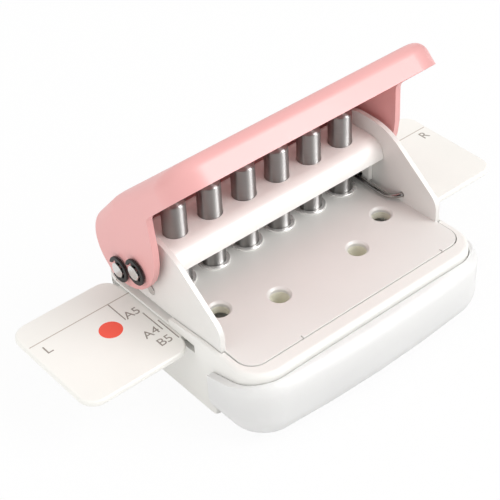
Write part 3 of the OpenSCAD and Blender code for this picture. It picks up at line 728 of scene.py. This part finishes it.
class PUNCH_OT_guides(bpy.types.Operator):
    """Two pull-out paper guides with their printed lines, letters and dot"""
    bl_idname = "punch.guides"
    bl_label = "Paper guides"

    def letters(self, text, height, x, y):
        """Flat letters set from their lower left corner, made a mesh before they are placed."""
        curve = bpy.data.curves.new("letters_" + text, "FONT")
        curve.body = text
        curve.size = height
        curve.extrude = INK_RISE
        curve.resolution_u = 4
        holder = bpy.data.objects.new("letters_" + text, curve)
        bpy.context.scene.collection.objects.link(holder)
        bpy.context.view_layer.update()
        mesh = bpy.data.meshes.new_from_object(holder)
        bpy.data.objects.remove(holder)
        bpy.data.curves.remove(curve)
        mesh.materials.clear()
        mesh.transform(Matrix.Translation(Vector((x, y, GUIDE_TOP))))
        return mesh

    def execute(self, context):
        size, look = context.scene.punch_sizes, finishes()
        low, high = GUIDE_TOP - INK_SINK, GUIDE_TOP + INK_RISE
        line_y, line_inset, line_overlap, dot_x = 7.1 * MM, 0.9 * MM, 2 * MM, -42.75 * MM
        line_start = GUIDE_REACH - line_inset
        line_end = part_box("base_shell")[1].x - line_overlap
        for side, name in ((-1, "left"), (1, "right")):
            body = name + "_guide_body"
            dressed_node(name + "_guide", GUIDE_EDGE, look["guide"], body, "guide_white", limit=ROUND_LIMIT)
            row_line = capsule((side * line_start, line_y), (side * line_end, line_y), size.line_width)
            film = ink_film(name + "_row_line", [row_line], low, high)
            add_piece(name + "_row_line", film, look["pale_ink"], body, "guide_white")
        ticks = [capsule((x * MM, a * MM), (x * MM, b * MM), size.line_width) for x, a, b in SIZE_TICKS]
        film = ink_film("size_ticks", ticks, low, high)
        add_piece("size_ticks", film, look["ink"], "left_guide_body", "guide_white")
        film = ink_film("stop_dot", [disc((dot_x, 0), size.dot_radius)], low, high)
        add_piece("stop_dot", film, look["dot"], "left_guide_body", "guide_white")
        for text, height, x, y, name in LETTERS:
            mesh = self.letters(text, height * MM, x * MM, y * MM)
            add_piece("letters_" + text, mesh, look["ink"], name + "_guide_body", "guide_white")
        return {"FINISHED"}


class PUNCH_OT_tray(bpy.types.Operator):
    """Frosted tray that wraps the front of the base and catches the chips"""
    bl_idname = "punch.tray"
    bl_label = "Chip tray"

    def execute(self, context):
        size, look = context.scene.punch_sizes, finishes()
        dressed_node("chip_tray", size.tray_round, look["tray"], "tray", "tray_frost", limit=ROUND_LIMIT)
        return {"FINISHED"}


# stage, in metres: the floor's white is partly its own glow, so that shadows on it stay faint
FLOOR_HALF = 1.5
FLOOR_TONE = 0.86
FLOOR_GLOW = 0.93
# middle and width of each dark card
CARDS = (((-0.40, -0.38, 0.4), 0.9), ((-0.55, 0.3, 0.4), 0.7), ((0.6, -0.02, 0.4), 0.8))
CARD_HEIGHT = 1.2
CARD_TONE = 0.02
SKY_TONE = (1.0, 0.995, 0.985)
SKY_STRENGTH = 0.85
# the photo's camera: directions of the picture's right and down, its place, and its lens in millimetres
CAMERA_RIGHT = (0.7637, -0.6441, -0.0451)
CAMERA_DOWN = (-0.4370, -0.4643, -0.7704)
CAMERA_PLACE = (-0.1574, -0.1963, 0.2214)
CAMERA_LENS = 103.03


class PUNCH_OT_stage(bpy.types.Operator):
    """White floor, soft studio light with dark cards for the steel, and the camera"""
    bl_idname = "punch.stage"
    bl_label = "Stage"

    def cleared_tree(self, owner):
        """Node tree of a material or a world, emptied."""
        owner.use_nodes = True
        owner.node_tree.nodes.clear()
        return owner.node_tree

    def seen(self, tree):
        """Mask that is 1 for rays that show the background, directly, in gloss or through the tray."""
        path = tree.nodes.new("ShaderNodeLightPath")
        total = path.outputs["Is Camera Ray"]
        for label in ("Is Glossy Ray", "Is Transmission Ray"):
            total = math_node(tree, "MAXIMUM", total, path.outputs[label])
        return total

    def split_surface(self, tree, mask, lit, shown, output):
        """Output that takes the lit shader where the mask is 0 and the shown one where it is 1."""
        blend = tree.nodes.new("ShaderNodeMixShader")
        for socket, source in zip(blend.inputs, (mask, lit.outputs[0], shown.outputs[0])):
            tree.links.new(source, socket)
        tree.links.new(blend.outputs[0], tree.nodes.new(output).inputs["Surface"])

    def diffuse(self, tree, tone):
        """Dull grey shader."""
        shader = tree.nodes.new("ShaderNodeBsdfDiffuse")
        shader.inputs["Color"].default_value = (tone, tone, tone, 1)
        return shader

    def set_up(self, name, corners, material):
        """Rectangle of the stage, which is no piece of the punch."""
        mesh = bpy.data.meshes.new(name)
        mesh.from_pydata(corners, [], [(0, 1, 2, 3)])
        mesh.materials.append(material)
        thing = bpy.data.objects.new(name, mesh)
        bpy.context.scene.collection.objects.link(thing)
        return thing

    def floor(self):
        """Floor that looks white and keeps a faint shadow."""
        material = bpy.data.materials.new("white_floor")
        tree = self.cleared_tree(material)
        share = math_node(tree, "MULTIPLY", self.seen(tree), FLOOR_GLOW)
        glow = tree.nodes.new("ShaderNodeEmission")
        self.split_surface(tree, share, self.diffuse(tree, FLOOR_TONE), glow, "ShaderNodeOutputMaterial")
        corners = [(a * FLOOR_HALF, b * FLOOR_HALF, 0) for a, b in ((-1, -1), (1, -1), (1, 1), (-1, 1))]
        self.set_up("floor", corners, material)

    def dark_card(self, place, width):
        """Upright dark card that faces the punch and shows in gloss only."""
        material = bpy.data.materials.new("dark_card")
        tree = self.cleared_tree(material)
        output = tree.nodes.new("ShaderNodeOutputMaterial")
        tree.links.new(self.diffuse(tree, CARD_TONE).outputs[0], output.inputs["Surface"])
        across = Vector((place[1], -place[0], 0)).normalized() * width / 2
        up = Vector((0, 0, CARD_HEIGHT / 2))
        corners = [Vector(place) + a * across + b * up for a, b in ((-1, -1), (1, -1), (1, 1), (-1, 1))]
        card = self.set_up("dark_card", corners, material)
        for ray in ("camera", "diffuse", "transmission", "volume_scatter", "shadow"):
            setattr(card, "visible_" + ray, False)

    def sky(self):
        """Even soft light from all round."""
        world = bpy.data.worlds.new("studio")
        bpy.context.scene.world = world
        tree = self.cleared_tree(world)
        shown, lighting = (tree.nodes.new("ShaderNodeBackground") for _ in range(2))
        lighting.inputs["Color"].default_value = (*SKY_TONE, 1)
        lighting.inputs["Strength"].default_value = SKY_STRENGTH
        self.split_surface(tree, self.seen(tree), lighting, shown, "ShaderNodeOutputWorld")

    def lamp(self, name, place, aim, width, power, height=None):
        """Soft lamp, square unless a height is given, that points at a height above the punch's origin."""
        light = bpy.data.lights.new(name, "AREA")
        light.energy = power
        light.size = width
        if height:
            light.shape = "RECTANGLE"
            light.size_y = height
        lamp = bpy.data.objects.new(name, light)
        bpy.context.scene.collection.objects.link(lamp)
        lamp.location = place
        lamp.rotation_euler = (Vector((0, 0, aim)) - Vector(place)).to_track_quat("-Z", "Y").to_euler()
        return lamp

    def camera(self):
        """Camera that sees the punch as the photo does."""
        right, down = Vector(CAMERA_RIGHT), Vector(CAMERA_DOWN)
        turn = Matrix((right, -down, -right.cross(down))).transposed().to_4x4()
        lens = bpy.data.cameras.new("camera")
        lens.lens = CAMERA_LENS
        camera = bpy.data.objects.new("camera", lens)
        bpy.context.scene.collection.objects.link(camera)
        camera.matrix_world = Matrix.Translation(CAMERA_PLACE) @ turn
        bpy.context.scene.camera = camera

    def execute(self, context):
        context.scene.view_settings.view_transform = "Standard"
        self.floor()
        for place, width in CARDS:
            self.dark_card(place, width)
        self.sky()
        self.lamp("key", (0.36, -0.52, 0.6), aim=0.02, width=0.5, power=3.1)
        # the strip draws the bright streak down each pin
        strip = self.lamp("strip", (0.27, -0.43, 0.34), aim=0.03, width=0.26, power=4.2, height=0.8)
        strip.visible_diffuse = False
        fill = self.lamp("fill", (-0.75, 0.05, 0.3), aim=0.02, width=0.6, power=1.1)
        fill.visible_glossy = False
        self.camera()
        return {"FINISHED"}


PIECE_OPERATORS = (PUNCH_OT_base, PUNCH_OT_deck, PUNCH_OT_collars, PUNCH_OT_pins, PUNCH_OT_shafts,
                   PUNCH_OT_spring, PUNCH_OT_lever, PUNCH_OT_guides, PUNCH_OT_tray, PUNCH_OT_stage)


class PUNCH_PT_panel(bpy.types.Panel):
    """Sidebar panel with the sizes, the colours and a button for each group of pieces"""
    bl_idname = "PUNCH_PT_panel"
    bl_label = "Lever punch"
    bl_space_type = "VIEW_3D"
    bl_region_type = "UI"
    bl_category = "Punch"

    def draw(self, context):
        layout = self.layout
        for group in (context.scene.punch_sizes, context.scene.punch_colours):
            for name in group.__annotations__:
                layout.prop(group, name)
        for operator in PIECE_OPERATORS:
            layout.operator(operator.bl_idname)


CLASSES = (PunchSizes, PunchColours, *PIECE_OPERATORS, PUNCH_PT_panel)


def register():
    for cls in CLASSES:
        bpy.utils.register_class(cls)
    bpy.types.Scene.punch_sizes = bpy.props.PointerProperty(type=PunchSizes)
    bpy.types.Scene.punch_colours = bpy.props.PointerProperty(type=PunchColours)


def unregister():
    del bpy.types.Scene.punch_colours
    del bpy.types.Scene.punch_sizes
    for cls in reversed(CLASSES):
        bpy.utils.unregister_class(cls)


def main():
    register()
    bpy.ops.punch.stage()
    bpy.ops.punch.base()
    bpy.ops.punch.deck()
    bpy.ops.punch.collars()
    bpy.ops.punch.pins()
    bpy.ops.punch.shafts()
    bpy.ops.punch.spring()
    bpy.ops.punch.lever()
    bpy.ops.punch.guides()
    bpy.ops.punch.tray()


if __name__ == "__main__":
    main()
